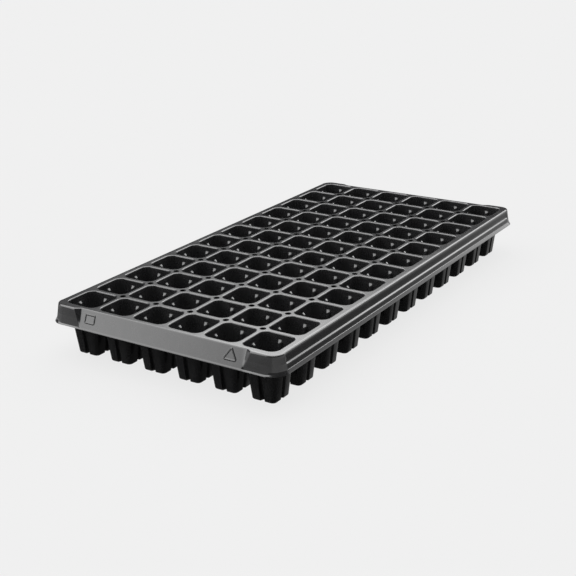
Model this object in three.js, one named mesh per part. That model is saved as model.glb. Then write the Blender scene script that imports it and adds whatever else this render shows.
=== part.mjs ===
// A plug tray for raising seedlings: 6 x 12 tapered cups hanging from one pierced deck, inside a
// flared stiffening skirt.  The real tray is one vacuum-formed sheet, so each mesh below is one
// formed region of it: a row of cups, an end panel, a side rail or a corner.
// Millimetres, +Z up, +Y along the tray, origin on the ground below the middle of the tray.
import * as THREE from 'three';

// Cup grid.
const COLUMNS = 6;
const ROWS = 12;
const PITCH_X = 42.4;
const PITCH_Y = 43.25;

// Heights above the ground.
const DECK_Z = 55;
const FLOOR_Z = 0;

// Sheet thickness: the cups are drawn thinner than the deck and skirt.
const DECK_SHEET = 1.0;
const CUP_SHEET = 0.6;

// Cups: a rounded square mouth, walls drafted in to a smaller floor, one rib up the middle of
// each wall (a groove outside) and a drain hole in the floor.
const WEB_WIDTH = 4.4;
const MOUTH_RADIUS = 9;
const FLOOR_HALF_X = 12.5;
const FLOOR_HALF_Y = 12.9;
const FLOOR_RADIUS = 4;
const RIB_TOP_DEPTH = 0.3;
const RIB_FLOOR_DEPTH = 3.2;
const RIB_HALF_WIDTH = 2.6;
const RIB_EDGE_DEPTH = 0.01;
const DRAIN_RADIUS = 3.5;
const DRAIN_SIDES = 6;

// Stations round a ring: it starts at 0, each corner begins at a whole number, and the rib of the
// side after it lies between these parts of the way to the next corner.
const RING_STATIONS = 4;
const RIB_START = 0.7;
const RIB_MIDDLE = 0.75;
const RIB_END = 0.8;

// Vent holes where four cups meet.
const VENT_RADIUS = 3.1;

// Deck outline and skirt.  A skirt section runs from the deck edge down to the lip.  Its points are
// given as a distance outside the deck edge at each of these depths.
const DECK_HALF_X = 133;
const DECK_HALF_Y = 265.8;
const CORNER_RADIUS = 12;
const CORNER_STEPS = 6;
const SKIRT_DEPTHS = [0, 9.3, 10.3, 15.4, 18.9];
const SIDE_SECTION = [0, 0.6, 2.0, 2.6, 4.6];
const CORNER_SECTION = [0, 1.5, 1.7, 2.6, 4.6];
const PANEL_SECTION = [-3.6, 0.1, 0.5, 2.6, 4.6];

// Where the recessed end panel meets a corner, and where a corner meets a side rail.
const PANEL_HALF_X = 94.5;
const RECESS_TOP_INNER = 98.8;
const RECESS_TOP_OUTER = 104.8;
const RECESS_FOOT_INNER = 96.6;
const RECESS_FOOT_OUTER = 99.4;
const LEDGE_RUN_OUT = 1.5;
const RAIL_HALF_Y = 249;

// Finish: matt black plastic.
const SHEET_COLOUR = 0x161617;
const SHEET_ROUGHNESS = 0.42;

const GRID_HALF_X = (COLUMNS * PITCH_X) / 2;
const GRID_HALF_Y = (ROWS * PITCH_Y) / 2;

// A list of triangles that grows into one closed surface.
class Surface {
  constructor() {
    this.positions = [];
  }

  triangle(a, b, c) {
    this.positions.push(...a, ...b, ...c);
  }

  quad(a, b, c, d) {
    this.triangle(a, b, c);
    this.triangle(a, c, d);
  }

  // A level face between an outline and its holes, facing up or down.
  levelFace(outline, holes, z, facesUp) {
    const flat = (ring) => ring.map((point) => new THREE.Vector2(point[0], point[1]));
    const contour = flat(outline);
    const openings = holes.map(flat);
    const points = [...contour, ...openings.flat()];
    for (const [a, b, c] of THREE.ShapeUtils.triangulateShape(contour, openings)) {
      const area = THREE.ShapeUtils.area([points[a], points[b], points[c]]);
      const order = area > 0 === facesUp ? [a, b, c] : [c, b, a];
      this.triangle(...order.map((index) => [points[index].x, points[index].y, z]));
    }
  }

  // A wall between an upper and a lower closed ring.  Both run counter-clockwise and each point
  // carries its station round the ring as a fourth number, so that the rings may differ in count.
  // The wall faces away from the middle of the rings, or towards it.
  wall(upper, lower, facesOut) {
    const at = (ring, index) => ring[index % ring.length];
    const laps = (ring, index) => (index >= ring.length ? RING_STATIONS : 0);
    const station = (ring, index) => at(ring, index)[3] + laps(ring, index);
    let i = 0;
    let j = 0;
    while (i < upper.length || j < lower.length) {
      const takeUpper = j >= lower.length
        || (i < upper.length && station(upper, i + 1) <= station(lower, j + 1));
      const a = at(upper, i).slice(0, 3);
      const b = at(lower, j).slice(0, 3);
      const c = (takeUpper ? at(upper, i + 1) : at(lower, j + 1)).slice(0, 3);
      if (facesOut) {
        this.triangle(a, b, c);
      } else {
        this.triangle(a, c, b);
      }
      if (takeUpper) {
        i += 1;
      } else {
        j += 1;
      }
    }
  }

  mesh(name) {
    const geometry = new THREE.BufferGeometry();
    geometry.setAttribute('position', new THREE.Float32BufferAttribute(this.positions, 3));
    geometry.computeVertexNormals();
    const material = new THREE.MeshStandardMaterial({
      color: SHEET_COLOUR,
      roughness: SHEET_ROUGHNESS,
      metalness: 0,
    });
    const mesh = new THREE.Mesh(geometry, material);
    mesh.name = name;
    return mesh;
  }
}

// One ring of a cup: a rounded square with an inward rib at the middle of each side.  Stations run
// from k to k + 0.5 round corner k, and the rib's points carry their own stations after k.
function cupRing(centre, half, radius, cornerSegments, rib, z) {
  const ring = [];
  for (let k = 0; k < 4; k += 1) {
    const turn = (k * Math.PI) / 2;
    const signX = k === 0 || k === 3 ? 1 : -1;
    const signY = k < 2 ? 1 : -1;
    const cornerX = centre[0] + signX * (half[0] - radius);
    const cornerY = centre[1] + signY * (half[1] - radius);
    for (let s = 0; s <= cornerSegments; s += 1) {
      const share = s / cornerSegments;
      const angle = turn + (share * Math.PI) / 2;
      const x = cornerX + radius * Math.cos(angle);
      const y = cornerY + radius * Math.sin(angle);
      ring.push([x, y, z, k + share / 2]);
    }
    // The side that follows corner k faces this way, and the ring runs along the tangent.
    const normal = [Math.round(Math.cos(turn + Math.PI / 2)), Math.round(Math.sin(turn + Math.PI / 2))];
    const tangent = [-normal[1], normal[0]];
    for (const [along, inward, station] of rib) {
      const x = centre[0] + normal[0] * (half[0] - inward) + tangent[0] * along;
      const y = centre[1] + normal[1] * (half[1] - inward) + tangent[1] * along;
      ring.push([x, y, z, k + station]);
    }
  }
  return ring;
}

function mouthRing(centre, z, growth) {
  const half = [PITCH_X / 2 - WEB_WIDTH / 2 + growth, PITCH_Y / 2 - WEB_WIDTH / 2 + growth];
  return cupRing(centre, half, MOUTH_RADIUS + growth, 2, [[0, RIB_TOP_DEPTH, RIB_MIDDLE]], z);
}

function floorRing(centre, z, growth) {
  const half = [FLOOR_HALF_X + growth, FLOOR_HALF_Y + growth];
  const rib = [
    [-RIB_HALF_WIDTH, RIB_EDGE_DEPTH, RIB_START],
    [0, RIB_FLOOR_DEPTH, RIB_MIDDLE],
    [RIB_HALF_WIDTH, RIB_EDGE_DEPTH, RIB_END],
  ];
  return cupRing(centre, half, FLOOR_RADIUS + growth, 1, rib, z);
}

function drainRing(centre, z) {
  const ring = [];
  for (let s = 0; s < DRAIN_SIDES; s += 1) {
    const angle = (s / DRAIN_SIDES) * 2 * Math.PI;
    const x = centre[0] + DRAIN_RADIUS * Math.cos(angle);
    const y = centre[1] + DRAIN_RADIUS * Math.sin(angle);
    ring.push([x, y, z, (RING_STATIONS * s) / DRAIN_SIDES]);
  }
  return ring;
}

// The plan outline of one row's strip of deck, with half of each vent hole cut from the edges that
// it shares with the rows on either side.
function stripOutline(row, z) {
  const low = row * PITCH_Y - GRID_HALF_Y;
  const high = low + PITCH_Y;
  const reach = VENT_RADIUS * Math.cos(Math.PI / 3);
  const rise = VENT_RADIUS * Math.sin(Math.PI / 3);
  const lowEdge = [];
  const highEdge = [];
  for (let column = 1; column < COLUMNS; column += 1) {
    const x = column * PITCH_X - GRID_HALF_X;
    for (const [dx, dy] of [[-VENT_RADIUS, 0], [-reach, rise], [reach, rise], [VENT_RADIUS, 0]]) {
      lowEdge.push([x + dx, low + dy, z]);
      highEdge.push([x + dx, high - dy, z]);
    }
  }
  return [
    [-GRID_HALF_X, low, z],
    ...(row > 0 ? lowEdge : []),
    [GRID_HALF_X, low, z],
    [GRID_HALF_X, high, z],
    ...(row < ROWS - 1 ? highEdge.reverse() : []),
    [-GRID_HALF_X, high, z],
  ];
}

function cellRow(row) {
  const surface = new Surface();
  const deckUnder = DECK_Z - DECK_SHEET;
  const floorTop = FLOOR_Z + CUP_SHEET;
  const mouths = [];
  const collars = [];
  for (let column = 0; column < COLUMNS; column += 1) {
    const centre = [(column + 0.5) * PITCH_X - GRID_HALF_X, (row + 0.5) * PITCH_Y - GRID_HALF_Y];
    const mouth = mouthRing(centre, DECK_Z, 0);
    const collar = mouthRing(centre, deckUnder, CUP_SHEET);
    const floorInside = floorRing(centre, floorTop, 0);
    const floorOutside = floorRing(centre, FLOOR_Z, CUP_SHEET);
    const drainTop = drainRing(centre, floorTop);
    const drainFoot = drainRing(centre, FLOOR_Z);
    surface.wall(mouth, floorInside, false);
    surface.wall(collar, floorOutside, true);
    surface.levelFace(floorInside, [drainTop], floorTop, true);
    surface.levelFace(floorOutside, [drainFoot], FLOOR_Z, false);
    surface.wall(drainTop, drainFoot, false);
    mouths.push(mouth);
    collars.push(collar);
  }
  const topEdge = stripOutline(row, DECK_Z);
  const underEdge = stripOutline(row, deckUnder);
  surface.levelFace(topEdge, mouths, DECK_Z, true);
  surface.levelFace(underEdge, collars, deckUnder, false);
  topEdge.forEach((point, index) => {
    const next = (index + 1) % topEdge.length;
    surface.quad(underEdge[index], underEdge[next], topEdge[next], point);
  });
  return surface.mesh(`cell_row_${String(row + 1).padStart(2, '0')}`);
}

// A run of skirt and deck margin, lofted through stations.  A station holds matching points down
// the outer and the inner face of the sheet, from the inner edge of the deck margin to the lip.
function sheetRun(name, stations) {
  const surface = new Surface();
  const count = stations[0].outer.length;
  for (let s = 0; s + 1 < stations.length; s += 1) {
    const here = stations[s];
    const next = stations[s + 1];
    for (let p = 0; p + 1 < count; p += 1) {
      surface.quad(here.outer[p], here.outer[p + 1], next.outer[p + 1], next.outer[p]);
      surface.quad(here.inner[p + 1], here.inner[p], next.inner[p], next.inner[p + 1]);
    }
    surface.quad(here.inner[0], here.outer[0], next.outer[0], next.inner[0]);
    surface.quad(here.outer[count - 1], here.inner[count - 1], next.inner[count - 1], next.outer[count - 1]);
  }
  const first = stations[0];
  const last = stations[stations.length - 1];
  for (let p = 0; p + 1 < count; p += 1) {
    surface.quad(first.outer[p], first.inner[p], first.inner[p + 1], first.outer[p + 1]);
    surface.quad(last.inner[p], last.outer[p], last.outer[p + 1], last.inner[p + 1]);
  }
  return surface.mesh(name);
}

// One station: the inner edge of the margin in plan, a point of the deck edge line for each depth,
// the outward direction, and the section's distances outside that line.
function station(marginEdge, edgePoints, outward, section) {
  const under = DECK_Z - DECK_SHEET;
  const outer = [[...marginEdge, DECK_Z]];
  const inner = [[...marginEdge, under]];
  section.forEach((distance, level) => {
    const point = edgePoints[level];
    const z = DECK_Z - SKIRT_DEPTHS[level];
    const inside = distance - DECK_SHEET;
    outer.push([point[0] + outward[0] * distance, point[1] + outward[1] * distance, z]);
    inner.push([point[0] + outward[0] * inside, point[1] + outward[1] * inside, Math.min(z, under)]);
  });
  return { outer, inner };
}

const everyLevel = (point) => SKIRT_DEPTHS.map(() => point);

// A station of the end wall at x, or with x given apart for the deck edge and for the skirt's foot.
function endStation(xTop, xFoot, section) {
  const foot = SKIRT_DEPTHS[3];
  const edge = SKIRT_DEPTHS.map((depth) => {
    const share = Math.min(depth / foot, 1);
    return [xTop + (xFoot - xTop) * share, -DECK_HALF_Y];
  });
  return station([xTop, -GRID_HALF_Y], edge, [0, -1], section);
}

function sideStation(y, section) {
  return station([GRID_HALF_X, y], everyLevel([DECK_HALF_X, y]), [1, 0], section);
}

// The stations of the corner at +X, -Y, from the end panel round to the side rail.
function cornerStations() {
  const centre = [DECK_HALF_X - CORNER_RADIUS, -DECK_HALF_Y + CORNER_RADIUS];
  const stations = [
    endStation(PANEL_HALF_X, PANEL_HALF_X, PANEL_SECTION),
    endStation(RECESS_TOP_INNER, RECESS_FOOT_INNER, PANEL_SECTION),
    endStation(RECESS_TOP_OUTER, RECESS_FOOT_OUTER, CORNER_SECTION),
  ];
  for (let s = 0; s <= CORNER_STEPS; s += 1) {
    const share = s / CORNER_STEPS;
    const angle = -Math.PI / 2 + (share * Math.PI) / 2;
    const outward = [Math.cos(angle), Math.sin(angle)];
    const edge = [centre[0] + CORNER_RADIUS * outward[0], centre[1] + CORNER_RADIUS * outward[1]];
    // The margin's inner edge turns square round the grid's corner while the skirt turns the arc.
    const alongEnd = Math.min(2 * share, 1);
    const alongSide = Math.max(2 * share - 1, 0);
    const marginX = centre[0] + (GRID_HALF_X - centre[0]) * alongEnd;
    const marginY = -GRID_HALF_Y + (centre[1] + GRID_HALF_Y) * alongSide;
    stations.push(station([marginX, marginY], everyLevel(edge), outward, CORNER_SECTION));
  }
  stations.push(sideStation(centre[1] + LEDGE_RUN_OUT, SIDE_SECTION));
  stations.push(sideStation(-RAIL_HALF_Y, SIDE_SECTION));
  return stations;
}

// Copies of the stations mirrored across X, Y or both.  A single mirror turns the run the other way.
function mirrored(stations, signX, signY) {
  const flip = (points) => points.map(([x, y, z]) => [signX * x, signY * y, z]);
  const copies = stations.map(({ outer, inner }) => ({ outer: flip(outer), inner: flip(inner) }));
  return signX * signY > 0 ? copies : copies.reverse();
}

const plug_tray = new THREE.Group();

for (let row = 0; row < ROWS; row += 1) {
  plug_tray.add(cellRow(row));
}

const panel = [
  endStation(-PANEL_HALF_X, -PANEL_HALF_X, PANEL_SECTION),
  endStation(PANEL_HALF_X, PANEL_HALF_X, PANEL_SECTION),
];
const rail = [sideStation(-RAIL_HALF_Y, SIDE_SECTION), sideStation(RAIL_HALF_Y, SIDE_SECTION)];
const corner = cornerStations();

plug_tray.add(sheetRun('end_panel_front', panel));
plug_tray.add(sheetRun('end_panel_back', mirrored(panel, 1, -1)));
plug_tray.add(sheetRun('side_rail_right', rail));
plug_tray.add(sheetRun('side_rail_left', mirrored(rail, -1, 1)));
plug_tray.add(sheetRun('corner_front_right', corner));
plug_tray.add(sheetRun('corner_front_left', mirrored(corner, -1, 1)));
plug_tray.add(sheetRun('corner_back_right', mirrored(corner, 1, -1)));
plug_tray.add(sheetRun('corner_back_left', mirrored(corner, -1, -1)));

export default plug_tray;
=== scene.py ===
"""Looks of a 72-cell plug tray: one vacuum-formed black sheet, split into the regions of its CAD model.

Every region is a closed shell with the real sheet's roundings, ribs and edges.  Lengths are in metres.
"""
import math

import bmesh
import bpy
import numpy as np
from mathutils import Matrix, Vector


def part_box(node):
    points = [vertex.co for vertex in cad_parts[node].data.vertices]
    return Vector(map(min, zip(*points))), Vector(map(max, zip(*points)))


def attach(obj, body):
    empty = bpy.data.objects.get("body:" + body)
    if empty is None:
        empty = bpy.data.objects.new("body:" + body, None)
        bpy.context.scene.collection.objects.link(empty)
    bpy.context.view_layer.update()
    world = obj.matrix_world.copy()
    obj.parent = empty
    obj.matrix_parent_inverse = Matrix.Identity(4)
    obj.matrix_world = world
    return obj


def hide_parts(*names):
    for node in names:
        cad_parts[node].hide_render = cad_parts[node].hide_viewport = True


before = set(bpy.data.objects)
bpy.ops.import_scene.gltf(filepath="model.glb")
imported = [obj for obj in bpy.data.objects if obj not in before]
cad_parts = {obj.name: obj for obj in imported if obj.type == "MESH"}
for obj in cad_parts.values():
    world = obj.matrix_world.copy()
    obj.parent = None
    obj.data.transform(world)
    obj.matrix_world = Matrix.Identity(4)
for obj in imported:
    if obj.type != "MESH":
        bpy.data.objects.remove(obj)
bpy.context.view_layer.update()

MM = 0.001

# ---------------------------------------------------------------- camera

LENS = 68.83
SENSOR = 36
CAMERA_PLACE = Vector((0.6205, -0.9945, 0.4460))
CAMERA_AXIS = Vector((-0.51162, 0.78527, -0.34870))
CAMERA_ROLL = math.radians(-1.169)

camera_data = bpy.data.cameras.new("camera")
camera_data.sensor_width = SENSOR
camera_data.lens = LENS
camera = bpy.data.objects.new("camera", camera_data)
camera.location = CAMERA_PLACE
camera.rotation_mode = "QUATERNION"
aim = CAMERA_AXIS.to_track_quat("-Z", "Y")
camera.rotation_quaternion = aim @ Matrix.Rotation(CAMERA_ROLL, 4, "Z").to_quaternion()
bpy.context.scene.collection.objects.link(camera)
bpy.context.scene.camera = camera

# ---------------------------------------------------------------- sizes taken from the frame

COLUMNS = 6
ROWS = 12
first_row_low, first_row_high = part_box("cell_row_01")
panel_low, panel_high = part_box("end_panel_front")
_, rail_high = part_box("side_rail_right")

PITCH_X = (first_row_high.x - first_row_low.x) / COLUMNS
PITCH_Y = first_row_high.y - first_row_low.y
GRID_HALF_X = COLUMNS * PITCH_X / 2
GRID_HALF_Y = ROWS * PITCH_Y / 2
DECK_Z = first_row_high.z
FLOOR_Z = first_row_low.z
PANEL_HALF_X = panel_high.x
RAIL_HALF_Y = rail_high.y
LIP_HALF_X = rail_high.x
LIP_HALF_Y = -panel_low.y

# ---------------------------------------------------------------- material

SHEET_IOR = 1.5
DARK_PATCH = (0.0115, 0.0115, 0.012, 1)
PALE_PATCH = (0.0175, 0.0175, 0.018, 1)
ROUGHNESS_LOW = 0.1
ROUGHNESS_HIGH = 0.125
SWELL_HEIGHT = 0.012 * MM
GRAIN_HEIGHT = 0.0025 * MM
# Noises: patches to the metre, and octaves of detail.
MOTTLE = (90, 5)
GLOSS = (60, 1)
SWELL = (200, 1)
GRAIN = (1400, 2)
# The part of a noise's values that is spread over the whole range of a look.
NOISE_LOW = 0.3
NOISE_HIGH = 0.7


def black_sheet():
    """Thin black plastic: mottled a little in colour and gloss, with a fine grain and a slow swell."""
    material = bpy.data.materials.new("black_sheet")
    material.use_nodes = True
    nodes = material.node_tree.nodes
    links = material.node_tree.links
    shader = nodes["Principled BSDF"]
    shader.inputs["IOR"].default_value = SHEET_IOR
    place_at = nodes.new("ShaderNodeTexCoord")

    def noise(scale, detail):
        node = nodes.new("ShaderNodeTexNoise")
        node.inputs["Scale"].default_value = scale
        node.inputs["Detail"].default_value = detail
        links.new(place_at.outputs["Object"], node.inputs["Vector"])
        return node.outputs["Fac"]

    def bump(height, distance, under=None):
        node = nodes.new("ShaderNodeBump")
        node.inputs["Distance"].default_value = distance
        links.new(height, node.inputs["Height"])
        if under is not None:
            links.new(under, node.inputs["Normal"])
        return node.outputs["Normal"]

    mottle = nodes.new("ShaderNodeValToRGB")
    mottle.color_ramp.elements[0].position = NOISE_LOW
    mottle.color_ramp.elements[0].color = DARK_PATCH
    mottle.color_ramp.elements[1].position = NOISE_HIGH
    mottle.color_ramp.elements[1].color = PALE_PATCH
    links.new(noise(*MOTTLE), mottle.inputs["Fac"])
    links.new(mottle.outputs["Color"], shader.inputs["Base Color"])

    gloss = nodes.new("ShaderNodeMapRange")
    gloss.inputs["From Min"].default_value = NOISE_LOW
    gloss.inputs["From Max"].default_value = NOISE_HIGH
    gloss.inputs["To Min"].default_value = ROUGHNESS_LOW
    gloss.inputs["To Max"].default_value = ROUGHNESS_HIGH
    links.new(noise(*GLOSS), gloss.inputs["Value"])
    links.new(gloss.outputs["Result"], shader.inputs["Roughness"])

    swell = bump(noise(*SWELL), SWELL_HEIGHT)
    links.new(bump(noise(*GRAIN), GRAIN_HEIGHT, swell), shader.inputs["Normal"])
    return material


sheet_material = black_sheet()

# ---------------------------------------------------------------- cups and deck

DECK_SHEET = 1.0 * MM
CUP_SHEET = 0.6 * MM

# Deck webs: a narrow flat between two cups, rolled over into each cup.  A ring of points on the
# flat, WEB_SUPPORT from its edge, keeps it level.
WEB_FLAT_HALF_X = 1.3 * MM
WEB_FLAT_HALF_Y = 1.45 * MM
WEB_SUPPORT = 0.3 * MM
MOUTH_FILLET = 1.2 * MM
MOUTH_FILLET_STEPS = 6
# The roll-over stops short of upright, where the drafted wall takes over.
MOUTH_TURN = math.radians(84)
MOUTH_RADIUS = 9.2 * MM
VENT_RADIUS = 3.1 * MM

# Cups: drafted walls with one rib up the middle of each, a rounded foot and a drain hole.
FLOOR_HALF_X = 12.5 * MM
FLOOR_HALF_Y = 12.9 * MM
FLOOR_RADIUS = 4 * MM
FLOOR_FILLET = 1.0 * MM
FOOT_FILLET = 1.5 * MM
FOOT_STEPS = 4
FOOT_LEAST_RADIUS = 1.0 * MM
RIB_HALF_WIDTH = 2.9 * MM
GROOVE_NARROWING = 0.3 * MM
RIB_TOP = 6.0 * MM
SHOULDER_DROP = 1.8 * MM
SHOULDER_SOFTNESS = 0.42
SHOULDER_STEPS = 8
SHOULDER_DEPTH = 2.4 * MM
RIB_FLOOR_DEPTH = 3.6 * MM
RIB_CREST_POWER = 4
LEVELS_OVER_RIB = (2.4 * MM, 1.0 * MM)
WALL_LEVELS = 4
DRAIN_RADIUS = 3.5 * MM
DRAIN_COLLAR = 4.6 * MM
MIDWAY_COLLAR = 1.6 * DRAIN_COLLAR

# Under the deck, a small cove leads from each cup's outer face to the deck's underside.
COVE_DEPTH = 1.8 * MM
COVE_FLARE = 0.3 * MM
COVE_RISE = 0.2 * MM

CORNER_SEGMENTS = 8
RIB_SEGMENTS = 8

SHARP_EDGE = math.radians(40)
SAME_PLACE = 0.001 * MM


def side_axes(k):
    """Outward normal and running direction of side k of a ring: +Y, -X, -Y, +X."""
    turn = math.pi / 2 * (k + 1)
    normal = np.round([math.cos(turn), math.sin(turn)])
    return normal, np.array([-normal[1], normal[0]])


def soft_ramp(t, softness):
    """0 to 1 along t, with both ends of the ramp rounded."""
    if t <= -softness:
        return 0.0
    if t < softness:
        return (t + softness) ** 2 / (4 * softness)
    if t <= 1 - softness:
        return t
    if t < 1 + softness:
        return 1 - (1 + softness - t) ** 2 / (4 * softness)
    return 1.0


def rib_profile(share):
    """Height of a rib across its width: share runs from -1 to 1, with a broad rounded crest."""
    return (1 - min(abs(share), 1) ** RIB_CREST_POWER) ** 2


def cup_ring(half_x, half_y, radius, rib_depth=0.0, rib_half=RIB_HALF_WIDTH):
    """A rounded square, counter-clockwise, with an inward rib at the middle of each side."""
    ring = []
    for k in range(4):
        normal, tangent = side_axes(k)
        before = side_axes(k - 1)[0]
        reach, reach_before = (half_y, half_x) if k % 2 == 0 else (half_x, half_y)
        centre = normal * reach + before * reach_before
        centre = centre - (normal + before) * radius
        for angle in np.linspace(0, math.pi / 2, CORNER_SEGMENTS + 1):
            ring.append(centre + radius * (math.cos(angle) * before + math.sin(angle) * normal))
        for share in np.linspace(-1, 1, RIB_SEGMENTS + 1):
            inward = rib_depth * rib_profile(share)
            ring.append(normal * (reach - inward) + tangent * (share * rib_half))
    return np.array(ring)


def cell_border(vented):
    """The border of one cell's deck, with a quarter of a vent hole cut from each vented corner.

    It also says which runs of the border are vent edges: one flag for each segment.
    """
    ring = []
    on_vent = []
    for k in range(4):
        normal, tangent = side_axes(k)
        before, run_in = side_axes(k - 1)
        pitch, pitch_before = (PITCH_Y, PITCH_X) if k % 2 == 0 else (PITCH_X, PITCH_Y)
        reach = pitch / 2
        junction = normal * reach + before * (pitch_before / 2)
        for step in range(CORNER_SEGMENTS + 1):
            share = step / CORNER_SEGMENTS
            if vented[k]:
                angle = share * math.pi / 2
                offset = -math.cos(angle) * run_in + math.sin(angle) * tangent
            elif share <= 0.5:
                offset = -(1 - 2 * share) * run_in
            else:
                offset = (2 * share - 1) * tangent
            ring.append(junction + VENT_RADIUS * offset)
            on_vent.append(vented[k] and step < CORNER_SEGMENTS)
        for share in np.linspace(-1, 1, RIB_SEGMENTS + 1):
            ring.append(normal * reach + tangent * (share * RIB_HALF_WIDTH))
            on_vent.append(False)
    return np.array(ring), on_vent


def wall_ring(depth, growth):
    """cup_ring's values at a depth down a cup's wall.  growth is 0 for the inner face."""
    top = MOUTH_FILLET
    foot = DECK_Z - FLOOR_Z - CUP_SHEET
    share = (depth - top) / (foot - top)
    mouth_x = PITCH_X / 2 - WEB_FLAT_HALF_X - MOUTH_FILLET
    mouth_y = PITCH_Y / 2 - WEB_FLAT_HALF_Y - MOUTH_FILLET
    half_x = mouth_x + (FLOOR_HALF_X - mouth_x) * share + growth
    half_y = mouth_y + (FLOOR_HALF_Y - mouth_y) * share + growth
    mouth_radius = MOUTH_RADIUS - MOUTH_FILLET
    radius = mouth_radius + (FLOOR_RADIUS - MOUTH_RADIUS + MOUTH_FILLET) * share + growth
    shoulder_end = RIB_TOP + SHOULDER_DROP
    below = max(depth - shoulder_end, 0) / (foot - shoulder_end)
    rib = SHOULDER_DEPTH * soft_ramp((depth - RIB_TOP) / SHOULDER_DROP, SHOULDER_SOFTNESS)
    rib += (RIB_FLOOR_DEPTH - SHOULDER_DEPTH) * below
    groove = RIB_HALF_WIDTH - (GROOVE_NARROWING if growth else 0)
    return half_x, half_y, radius, rib, groove


def at_height(ring, z):
    """A ring's points in space."""
    return np.column_stack([ring, np.full(len(ring), z)])


def cup_skin():
    """The rings of one cup: from the deck down inside, through the drain hole and up outside."""
    rings = []
    flat_x = PITCH_X / 2 - WEB_FLAT_HALF_X
    flat_y = PITCH_Y / 2 - WEB_FLAT_HALF_Y
    for growth in (WEB_SUPPORT, 0):
        ring = cup_ring(flat_x + growth, flat_y + growth, MOUTH_RADIUS + growth)
        rings.append(at_height(ring, DECK_Z))
    for angle in np.linspace(0, MOUTH_TURN, MOUTH_FILLET_STEPS + 1)[1:]:
        inset = MOUTH_FILLET * math.sin(angle)
        ring = cup_ring(flat_x - inset, flat_y - inset, MOUTH_RADIUS - inset)
        rings.append(at_height(ring, DECK_Z - MOUTH_FILLET * (1 - math.cos(angle))))

    shoulder = [
        RIB_TOP + SHOULDER_DROP * t
        for t in np.linspace(-SHOULDER_SOFTNESS, 1 + SHOULDER_SOFTNESS, SHOULDER_STEPS + 1)
    ]
    inner_foot = DECK_Z - FLOOR_Z - CUP_SHEET - FLOOR_FILLET
    outer_foot = DECK_Z - FLOOR_Z - FOOT_FILLET
    above = [RIB_TOP - rise for rise in LEVELS_OVER_RIB]
    spread = np.linspace(shoulder[-1], inner_foot, WALL_LEVELS + 2)[1:-1]
    for depth in [*above, *shoulder, *spread, inner_foot]:
        rings.append(at_height(cup_ring(*wall_ring(depth, 0)), DECK_Z - depth))

    def foot(growth, depth, fillet, bottom):
        """Rings that round the wall over into the floor."""
        half_x, half_y, radius, rib, groove = wall_ring(depth, growth)
        turned = []
        for angle in np.linspace(0, math.pi / 2, FOOT_STEPS + 1)[1:]:
            inset = fillet * (1 - math.cos(angle))
            z = bottom + fillet * (1 - math.sin(angle))
            turned_radius = max(radius - inset, FOOT_LEAST_RADIUS)
            ring = cup_ring(half_x - inset, half_y - inset, turned_radius, rib, groove)
            turned.append(at_height(ring, z))
        return turned

    def floor_rings(edge, z):
        """Rings from the floor's edge in to the drain hole."""
        plan = edge[:, :2]
        away = plan / np.linalg.norm(plan, axis=1)[:, None]
        midway = (plan + away * MIDWAY_COLLAR) / 2
        return [at_height(ring, z) for ring in (midway, away * DRAIN_COLLAR, away * DRAIN_RADIUS)]

    floor_top = FLOOR_Z + CUP_SHEET
    rings += foot(0, inner_foot, FLOOR_FILLET, floor_top)
    rings += floor_rings(rings[-1], floor_top)
    outside = foot(CUP_SHEET, outer_foot, FOOT_FILLET, FLOOR_Z)
    rings += floor_rings(outside[-1], FLOOR_Z)[::-1]
    rings += outside[::-1]
    for depth in [outer_foot, *spread[::-1], *shoulder[::-1], *above[::-1]]:
        rings.append(at_height(cup_ring(*wall_ring(depth, CUP_SHEET)), DECK_Z - depth))
    under = DECK_Z - DECK_SHEET
    cove_x, cove_y, cove_radius = wall_ring(MOUTH_FILLET, CUP_SHEET)[:3]
    rings.append(at_height(cup_ring(cove_x, cove_y, cove_radius), DECK_Z - COVE_DEPTH))
    flared = cup_ring(cove_x + COVE_FLARE, cove_y + COVE_FLARE, cove_radius)
    rings.append(at_height(flared, under - COVE_RISE))
    rings.append(at_height(cup_ring(flat_x, flat_y, MOUTH_RADIUS), under))
    return rings


def new_piece(name, points, faces, node):
    """A smooth-shaded closed shell of black sheet that stands for a CAD node."""
    mesh = bpy.data.meshes.new(name)
    mesh.from_pydata([tuple(p) for p in points], [], [tuple(f) for f in faces])
    work = bmesh.new()
    work.from_mesh(mesh)
    bmesh.ops.remove_doubles(work, verts=work.verts, dist=SAME_PLACE)
    bmesh.ops.recalc_face_normals(work, faces=work.faces)
    work.to_mesh(mesh)
    work.free()
    mesh.shade_smooth()
    mesh.set_sharp_from_angle(angle=SHARP_EDGE)
    mesh.materials.append(sheet_material)
    piece = bpy.data.objects.new(name, mesh)
    bpy.context.scene.collection.objects.link(piece)
    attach(piece, "root")
    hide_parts(node)


CUP_SKIN = cup_skin()


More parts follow.
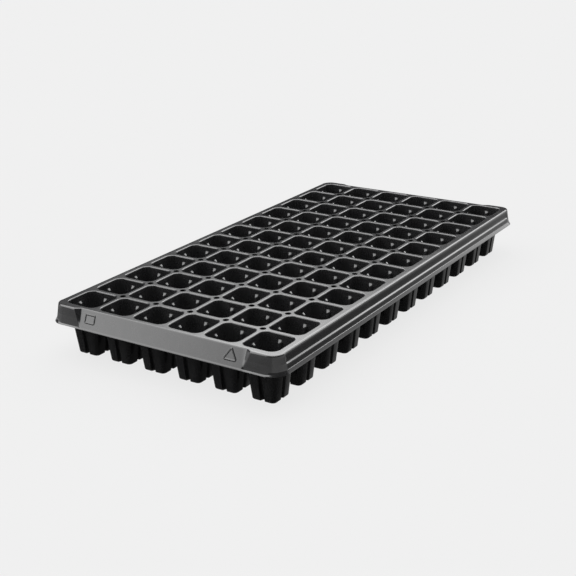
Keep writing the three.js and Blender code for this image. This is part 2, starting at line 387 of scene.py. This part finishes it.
def cell_row(row):
    """One row of cups with its strip of deck."""
    points = []
    faces = []
    for column in range(COLUMNS):
        right = column < COLUMNS - 1
        left = column > 0
        behind = row < ROWS - 1
        ahead = row > 0
        vented = [right and behind, left and behind, left and ahead, right and ahead]
        border, on_vent = cell_border(vented)
        rings = [at_height(border, DECK_Z), *CUP_SKIN, at_height(border, DECK_Z - DECK_SHEET)]
        centre_x = (column + 0.5) * PITCH_X - GRID_HALF_X
        centre_y = (row + 0.5) * PITCH_Y - GRID_HALF_Y
        centre = np.array([centre_x, centre_y, 0])
        count = len(border)
        base = len(points)
        for ring in rings:
            points.extend(ring + centre)
        for level in range(len(rings) - 1):
            here = base + level * count
            below = here + count
            for i in range(count):
                j = (i + 1) % count
                faces.append((here + i, here + j, below + j, below + i))
        # The sheet's own edge: round the vent holes and where the strip meets its neighbours.
        foot = base + (len(rings) - 1) * count
        for i in range(count):
            j = (i + 1) % count
            middle = (border[i] + border[j]) / 2
            along_row = abs(abs(middle[1]) - PITCH_Y / 2) < SAME_PLACE
            at_left_end = not left and abs(middle[0] + PITCH_X / 2) < SAME_PLACE
            at_right_end = not right and abs(middle[0] - PITCH_X / 2) < SAME_PLACE
            if on_vent[i] or along_row or at_left_end or at_right_end:
                faces.append((base + j, base + i, foot + i, foot + j))
    new_piece(f"cups_{row + 1:02d}", points, faces, f"cell_row_{row + 1:02d}")


# ---------------------------------------------------------------- skirt

# A section's corners run down the outer face of the sheet to the lip.  Each one is its distance
# outside the deck edge, its depth below the deck and the radius that rounds it, in millimetres.
SIDE_SECTION = [
    (0, 0, 1.9), (0.6, 9.3, 0.6), (2.0, 10.3, 0.8), (2.5, 15.3, 0.4), (2.86, 15.6, 0.4),
    (4.3, 18.1, 0.5), (4.6, 18.9, 0),
]
CORNER_SECTION = [
    (0, 0, 1.9), (1.4, 9.3, 0.6), (1.6, 10.3, 0.8), (2.5, 15.3, 0.4), (2.8, 15.7, 0.5),
    (4.3, 18.1, 0.5), (4.6, 18.9, 0),
]
PAD_SECTION = [
    (0, 0, 1.9), (1.4, 9.3, 0.6), (1.6, 10.3, 0.8), (2.44, 15.3, 0.5), (2.95, 17.9, 0.3),
    (4.2, 18.45, 0.25), (4.6, 18.9, 0),
]
PANEL_SECTION = [
    (-3.6, 0, 1.6), (0.144, 9.3, 0.6), (0.547, 10.3, 0.8), (2.56, 15.3, 0.5), (3.45, 17.5, 0.4),
    (4.35, 18.3, 0.35), (4.6, 18.9, 0),
]
LIP_OUT = SIDE_SECTION[-1][0] * MM
SKIRT_FOOT = 15.4 * MM
FILLET_STEPS = 5
STRAIGHT_STEPS = 3
# A rounding takes up at most this share of the shorter run beside it.
ROUNDING_SHARE = 0.45
INNER_LEAST_RADIUS = 0.2 * MM
STRAIGHT_ENOUGH = 1e-4

DECK_HALF_X = LIP_HALF_X - LIP_OUT
DECK_HALF_Y = LIP_HALF_Y - LIP_OUT
CORNER_RADIUS = 12 * MM
CORNER_STEPS = 20
CORNER_MARGIN = 3 * MM
# Where the recess of an end panel runs out: its inner and outer end, at the deck and at the foot.
RECESS_TOP = (98.8 * MM, 104.8 * MM)
RECESS_FOOT = (96.6 * MM, 99.4 * MM)
RECESS_STEPS = 14
RECESS_SOFTNESS = 0.16
LEDGE_RUN_OUT = 1.5 * MM
LEDGE_STEPS = 5
PANEL_STATIONS = 9
RAIL_STATIONS = 13

# Two plain marks on the front panel: outlines of a rounded rectangle and of a rounded triangle.
# The panel's face is finely divided under them: steps for each straight run of its section.
MARKED_FACE_STEPS = {1: 36, 2: 5, 3: 20}
MARK_DEPTH = 8.0 * MM
MARK_HEIGHT = 0.4 * MM
MARK_LINE_HALF = 1.0 * MM
MARK_ROUNDING = 1.0 * MM
MARK_SPACING = 0.25 * MM
MARK_REACH = 8.8 * MM
RECTANGLE = [
    (-4.8 * MM, -2.8 * MM), (4.8 * MM, -2.8 * MM), (4.8 * MM, 2.8 * MM), (-4.8 * MM, 2.8 * MM),
]
TRIANGLE = [(-5.2 * MM, -3.4 * MM), (5.2 * MM, -3.4 * MM), (0, 4.2 * MM)]
MARKS = [(-85.5 * MM, RECTANGLE), (82.5 * MM, TRIANGLE)]


def rounded_path(points, radii, run_steps):
    """A polyline with rounded inner corners.  run_steps gives the steps of its finer straight runs."""
    finer = run_steps or {}
    points = [np.array(p, float) for p in points]
    starts = [points[0]]
    ends = []
    arcs = []
    for i in range(1, len(points) - 1):
        back = points[i - 1] - points[i]
        on = points[i + 1] - points[i]
        back_length = np.linalg.norm(back)
        on_length = np.linalg.norm(on)
        back /= back_length
        on /= on_length
        half_turn = math.acos(max(-1, min(1, float(-back @ on)))) / 2
        room = ROUNDING_SHARE * min(back_length, on_length)
        reach = min(radii[i] * math.tan(half_turn), room)
        a = points[i] + back * reach
        b = points[i] + on * reach
        arc = []
        for t in np.linspace(0, 1, FILLET_STEPS + 1):
            arc.append((1 - t) ** 2 * a + 2 * t * (1 - t) * points[i] + t * t * b)
        ends.append(a)
        arcs.append(arc)
        starts.append(b)
    ends.append(points[-1])
    path = []
    for i, (a, b) in enumerate(zip(starts, ends)):
        steps = finer.get(i, STRAIGHT_STEPS)
        inner = [a + (b - a) * t for t in np.linspace(0, 1, steps + 1)[1:-1]]
        if i == 0:
            path.append(a)
        path += inner
        path += arcs[i] if i < len(arcs) else [b]
    return np.array(path)


def inset_points(points, sheet):
    """Corner points of the sheet's inner face, on the left of the outer face's path."""
    points = [np.array(p, float) for p in points]
    lines = []
    for a, b in zip(points, points[1:]):
        along = (b - a) / np.linalg.norm(b - a)
        normal = np.array([-along[1], along[0]])
        lines.append((a + normal * sheet, along))
    inner = [np.array([points[0][0], points[0][1] + sheet])]
    for (p, u), (q, v) in zip(lines, lines[1:]):
        cross = u[0] * v[1] - u[1] * v[0]
        if abs(cross) < STRAIGHT_ENOUGH:
            inner.append(q)
        else:
            t = ((q - p)[0] * v[1] - (q - p)[1] * v[0]) / cross
            inner.append(p + u * t)
    p, u = lines[-1]
    t = (points[-1][1] - p[1]) / u[1]
    inner.append(p + u * t)
    return inner


def section_paths(section, margin, run_steps=None):
    """The sheet's outer and inner face as (out, depth), from the deck margin's edge to the lip."""
    corners = [(-margin, 0)] + [(out * MM, depth * MM) for out, depth, _ in section]
    radii = [0] + [radius * MM for _, _, radius in section]
    outer = rounded_path(corners, radii, run_steps)
    inner_corners = inset_points(corners, DECK_SHEET)
    inner_radii = [max(radius - DECK_SHEET, INNER_LEAST_RADIUS) for radius in radii]
    inner = rounded_path(inner_corners, inner_radii, run_steps)
    return outer, inner


def blend_section(a, b, share):
    """A section part of the way from a to b."""
    return [tuple(p + (q - p) * share for p, q in zip(here, there)) for here, there in zip(a, b)]


def place(paths, margin_edge, deck_edge, skirt_edge, outward):
    """A station in space.  Its distances count from a line that runs from deck_edge to skirt_edge."""
    deck_edge = np.array(deck_edge)
    skirt_edge = np.array(skirt_edge)
    placed = []
    for path in paths:
        points = []
        for index, (out, depth) in enumerate(path):
            if index == 0:
                plan = np.array(margin_edge)
            else:
                share = min(depth / SKIRT_FOOT, 1)
                plan = deck_edge + (skirt_edge - deck_edge) * share + np.array(outward) * out
            points.append((plan[0], plan[1], DECK_Z - depth))
        placed.append(points)
    return placed


def end_station(x_top, x_foot, section):
    """A station of the front wall, from x_top at the deck to x_foot at the skirt's foot."""
    paths = section_paths(section, DECK_HALF_Y - GRID_HALF_Y)
    deck_edge = (x_top, -DECK_HALF_Y)
    return place(paths, (x_top, -GRID_HALF_Y), deck_edge, (x_foot, -DECK_HALF_Y), (0, -1))


def polygon_distance(point, corners):
    """Signed distance from a point to a convex polygon's outline.  Corners run counter-clockwise."""
    nearest = math.inf
    inside = True
    for a, b in zip(corners, corners[1:] + corners[:1]):
        along = np.subtract(b, a)
        offset = np.subtract(point, a)
        share = min(max(float(offset @ along) / float(along @ along), 0), 1)
        nearest = min(nearest, float(np.linalg.norm(offset - along * share)))
        inside = inside and along[0] * offset[1] - along[1] * offset[0] > 0
    return -nearest if inside else nearest


def mark_relief(x, depth):
    """How far the plain marks stand off the front panel at a place on its upper face."""
    relief = 0.0
    for centre_x, corners in MARKS:
        distance = polygon_distance((x - centre_x, MARK_DEPTH - depth), corners) - MARK_ROUNDING
        share = min(abs(distance) / MARK_LINE_HALF, 1)
        relief = max(relief, MARK_HEIGHT * (1 + math.cos(math.pi * share)) / 2)
    return relief


def front_panel_station(x):
    """A station of the front panel, finely divided so that it can carry the marks."""
    paths = section_paths(PANEL_SECTION, DECK_HALF_Y - GRID_HALF_Y, MARKED_FACE_STEPS)
    outer = paths[0]
    outer[:, 0] += [mark_relief(x, depth) for depth in outer[:, 1]]
    return place(paths, (x, -GRID_HALF_Y), (x, -DECK_HALF_Y), (x, -DECK_HALF_Y), (0, -1))


def front_panel_places():
    """Where the front panel has its stations: close together across each mark."""
    places = [-PANEL_HALF_X, 0, PANEL_HALF_X]
    steps = round(2 * MARK_REACH / MARK_SPACING)
    for centre_x, _ in MARKS:
        places += list(np.linspace(centre_x - MARK_REACH, centre_x + MARK_REACH, steps + 1))
    return sorted(places)


def side_station(y, section):
    """A station of the right side wall."""
    paths = section_paths(section, DECK_HALF_X - GRID_HALF_X)
    return place(paths, (GRID_HALF_X, y), (DECK_HALF_X, y), (DECK_HALF_X, y), (1, 0))


def sheet_run(name, node, stations):
    """A closed run of sheet lofted through stations."""
    points = []
    faces = []
    count = len(stations[0][0])
    for outer, inner in stations:
        points.extend(outer)
        points.extend(inner)
    loop = list(range(count)) + list(range(2 * count - 1, count - 1, -1))
    for s in range(len(stations) - 1):
        here = s * 2 * count
        there = here + 2 * count
        for i in range(2 * count):
            a = loop[i]
            b = loop[(i + 1) % (2 * count)]
            faces.append((here + a, here + b, there + b, there + a))
    last = (len(stations) - 1) * 2 * count
    for i in range(count - 1):
        faces.append((i, i + 1, count + i + 1, count + i))
        faces.append((last + i, last + count + i, last + count + i + 1, last + i + 1))
    new_piece(name, points, faces, node)


def mirrored(stations, sign_x, sign_y):
    """Copies of stations, mirrored across X, Y or both."""
    def flip(points):
        return [(sign_x * x, sign_y * y, z) for x, y, z in points]

    return [(flip(outer), flip(inner)) for outer, inner in stations]


def corner_stations():
    """The stations of the corner at +X, -Y, from the front panel round to the right side wall."""
    stations = [end_station(PANEL_HALF_X, PANEL_HALF_X, PANEL_SECTION)]
    for step in range(RECESS_STEPS + 1):
        t = -RECESS_SOFTNESS + (1 + 2 * RECESS_SOFTNESS) * step / RECESS_STEPS
        x_top = RECESS_TOP[0] + (RECESS_TOP[1] - RECESS_TOP[0]) * t
        x_foot = RECESS_FOOT[0] + (RECESS_FOOT[1] - RECESS_FOOT[0]) * t
        section = blend_section(PANEL_SECTION, PAD_SECTION, soft_ramp(t, RECESS_SOFTNESS))
        stations.append(end_station(x_top, x_foot, section))
    centre = np.array([DECK_HALF_X - CORNER_RADIUS, -DECK_HALF_Y + CORNER_RADIUS])
    for step in range(CORNER_STEPS + 1):
        share = step / CORNER_STEPS
        angle = -math.pi / 2 + share * math.pi / 2
        outward = np.array([math.cos(angle), math.sin(angle)])
        edge = centre + CORNER_RADIUS * outward
        # The margin's inner edge turns square round the grid's corner while the skirt turns the arc.
        along_end = min(2 * share, 1)
        along_side = max(2 * share - 1, 0)
        margin_edge = (
            centre[0] + (GRID_HALF_X - centre[0]) * along_end,
            -GRID_HALF_Y + (centre[1] + GRID_HALF_Y) * along_side,
        )
        section = blend_section(PAD_SECTION, CORNER_SECTION, along_end)
        paths = section_paths(section, CORNER_MARGIN)
        stations.append(place(paths, margin_edge, edge, edge, outward))
    for step in range(1, LEDGE_STEPS + 1):
        share = step / LEDGE_STEPS
        eased = share * share * (3 - 2 * share)
        section = blend_section(CORNER_SECTION, SIDE_SECTION, eased)
        stations.append(side_station(centre[1] + LEDGE_RUN_OUT * share, section))
    stations.append(side_station(-RAIL_HALF_Y, SIDE_SECTION))
    return stations


for row in range(ROWS):
    cell_row(row)

panel_places = np.linspace(-PANEL_HALF_X, PANEL_HALF_X, PANEL_STATIONS)
rail_places = np.linspace(-RAIL_HALF_Y, RAIL_HALF_Y, RAIL_STATIONS)
front_panel = [front_panel_station(x) for x in front_panel_places()]
panel = [end_station(x, x, PANEL_SECTION) for x in panel_places]
rail = [side_station(y, SIDE_SECTION) for y in rail_places]
corner = corner_stations()

sheet_run("end_wall_front", "end_panel_front", front_panel)
sheet_run("end_wall_back", "end_panel_back", mirrored(panel, 1, -1))
sheet_run("side_wall_right", "side_rail_right", rail)
sheet_run("side_wall_left", "side_rail_left", mirrored(rail, -1, 1))
sheet_run("corner_wall_front_right", "corner_front_right", corner)
sheet_run("corner_wall_front_left", "corner_front_left", mirrored(corner, -1, 1))
sheet_run("corner_wall_back_right", "corner_back_right", mirrored(corner, 1, -1))
sheet_run("corner_wall_back_left", "corner_back_left", mirrored(corner, -1, -1))

# ---------------------------------------------------------------- stage and light

scene = bpy.context.scene
scene.view_settings.view_transform = "Standard"

world = bpy.data.worlds.new("studio")
scene.world = world
world.use_nodes = True
world_nodes = world.node_tree.nodes
world_links = world.node_tree.links


def world_math(operation, first, second=None):
    """One step of arithmetic on the sky's sockets or on plain numbers."""
    node = world_nodes.new("ShaderNodeMath")
    node.operation = operation
    for socket, value in zip(node.inputs, (first, second)):
        if value is None:
            continue
        if isinstance(value, bpy.types.NodeSocket):
            world_links.new(value, socket)
        else:
            socket.default_value = value
    return node.outputs[0]


direction = world_nodes.new("ShaderNodeSeparateXYZ")
look = world_nodes.new("ShaderNodeTexCoord")
world_links.new(look.outputs["Generated"], direction.inputs["Vector"])
climb = world_math("ARCSINE", direction.outputs["Z"])
turn = world_math("ARCTAN2", direction.outputs["X"], direction.outputs["Y"])
elevation = world_math("MULTIPLY", climb, math.degrees(1))
azimuth = world_math("MULTIPLY", turn, math.degrees(1))


def soft_edge(value, at, softness):
    """0 below at and 1 above it, or the other way round where softness is negative."""
    node = world_nodes.new("ShaderNodeMapRange")
    node.interpolation_type = "SMOOTHSTEP"
    node.inputs["From Min"].default_value = at - abs(softness)
    node.inputs["From Max"].default_value = at + abs(softness)
    node.inputs["To Min"].default_value = 0 if softness > 0 else 1
    node.inputs["To Max"].default_value = 1 if softness > 0 else 0
    world_links.new(value, node.inputs["Value"])
    return node.outputs["Result"]


def softbox(left, right, side_softness, low, high, softness, radiance):
    """A soft light's brightness over the sky."""
    from_left = soft_edge(azimuth, left, side_softness)
    to_right = soft_edge(azimuth, right, -side_softness)
    from_low = soft_edge(elevation, low, softness)
    to_high = soft_edge(elevation, high, -softness)
    across = world_math("MULTIPLY", from_left, to_right)
    upright = world_math("MULTIPLY", from_low, to_high)
    return world_math("MULTIPLY", world_math("MULTIPLY", across, upright), radiance)


# The plain room behind the lights: elevation in degrees, and brightness.
ROOM = [
    (-90, 0.06), (-30, 0.06), (-20, 0.12), (-16, 0.22), (-12.5, 0.6), (-8, 1.1), (-1, 1.1),
    (3, 0.2), (8, 0.03), (90, 0.03),
]

# Soft lights: left and right edge in degrees of azimuth from +Y towards +X and the softness of
# both, low and high edge in degrees of elevation and the softness of both, then brightness.
LIGHTS = [
    # Behind the tray, low: mirrored in the deck and its webs.
    (-41.5, -21, 6, 22.8, 34, 5.5, 5.8),
    # Next to it: mirrored in the rolled rims of the cups and in the ledges.
    (-16, 26, 5, 24, 34, 3, 6.0),
    # Higher, from the front left round behind the tray to the right.
    (-150, 50, 10, 34, 58, 5.5, 5.2),
    # Overhead.
    (-190, 190, 1, 58, 91, 5.5, 5.2),
    # Behind and to the right, one within the other: mirrored in the sloping parts of the side wall.
    (18, 28, 6, 0, 34, 4, 2.6),
    (18, 44, 6, 0, 34, 4, 1.1),
    # Below the horizon: a little light for the steep walls.
    (-40, 24, 6, -60, -18, 4, 0.3),
    # To the front left: mirrored in the sloping front panel.
    (-150, -112, 12, 2, 34, 4, 4.8),
    # A dark screen in front, in two parts because azimuth wraps round there.
    (-190, -137, 6, -12, 4, 4, -0.4),
    (158, 190, 10, -12, 4, 4, -0.4),
]

total = ROOM[0][1]
for (low, dim), (high, bright) in zip(ROOM, ROOM[1:]):
    ramp = world_nodes.new("ShaderNodeMapRange")
    ramp.inputs["From Min"].default_value = low
    ramp.inputs["From Max"].default_value = high
    ramp.inputs["To Min"].default_value = 0
    ramp.inputs["To Max"].default_value = bright - dim
    world_links.new(elevation, ramp.inputs["Value"])
    total = world_math("ADD", ramp.outputs["Result"], total)
for light in LIGHTS:
    total = world_math("ADD", total, softbox(*light))

world_links.new(total, world_nodes["Background"].inputs["Strength"])
world_nodes["Background"].inputs["Color"].default_value = (1, 1, 1, 1)

# The floor glows evenly by itself and takes only a faint shadow from the lights.
FLOOR_GLOW = 0.7805
FLOOR_ALBEDO = 0.03
FLOOR_REACH = 400
FLOOR_GAP = 0.1 * MM

floor_mesh = bpy.data.meshes.new("floor")
quarters = [(-1, -1), (1, -1), (1, 1), (-1, 1)]
floor_corners = [(x * FLOOR_REACH, y * FLOOR_REACH, -FLOOR_GAP) for x, y in quarters]
floor_mesh.from_pydata(floor_corners, [], [(0, 1, 2, 3)])
floor_material = bpy.data.materials.new("floor")
floor_material.use_nodes = True
floor_shader = floor_material.node_tree.nodes["Principled BSDF"]
floor_shader.inputs["Base Color"].default_value = (FLOOR_ALBEDO, FLOOR_ALBEDO, FLOOR_ALBEDO, 1)
floor_shader.inputs["Roughness"].default_value = 1
floor_shader.inputs["Specular IOR Level"].default_value = 0
floor_shader.inputs["Emission Color"].default_value = (1, 1, 1, 1)
floor_shader.inputs["Emission Strength"].default_value = FLOOR_GLOW
floor_mesh.materials.append(floor_material)
floor = bpy.data.objects.new("floor", floor_mesh)
scene.collection.objects.link(floor)
floor.visible_glossy = False
floor.visible_diffuse = False
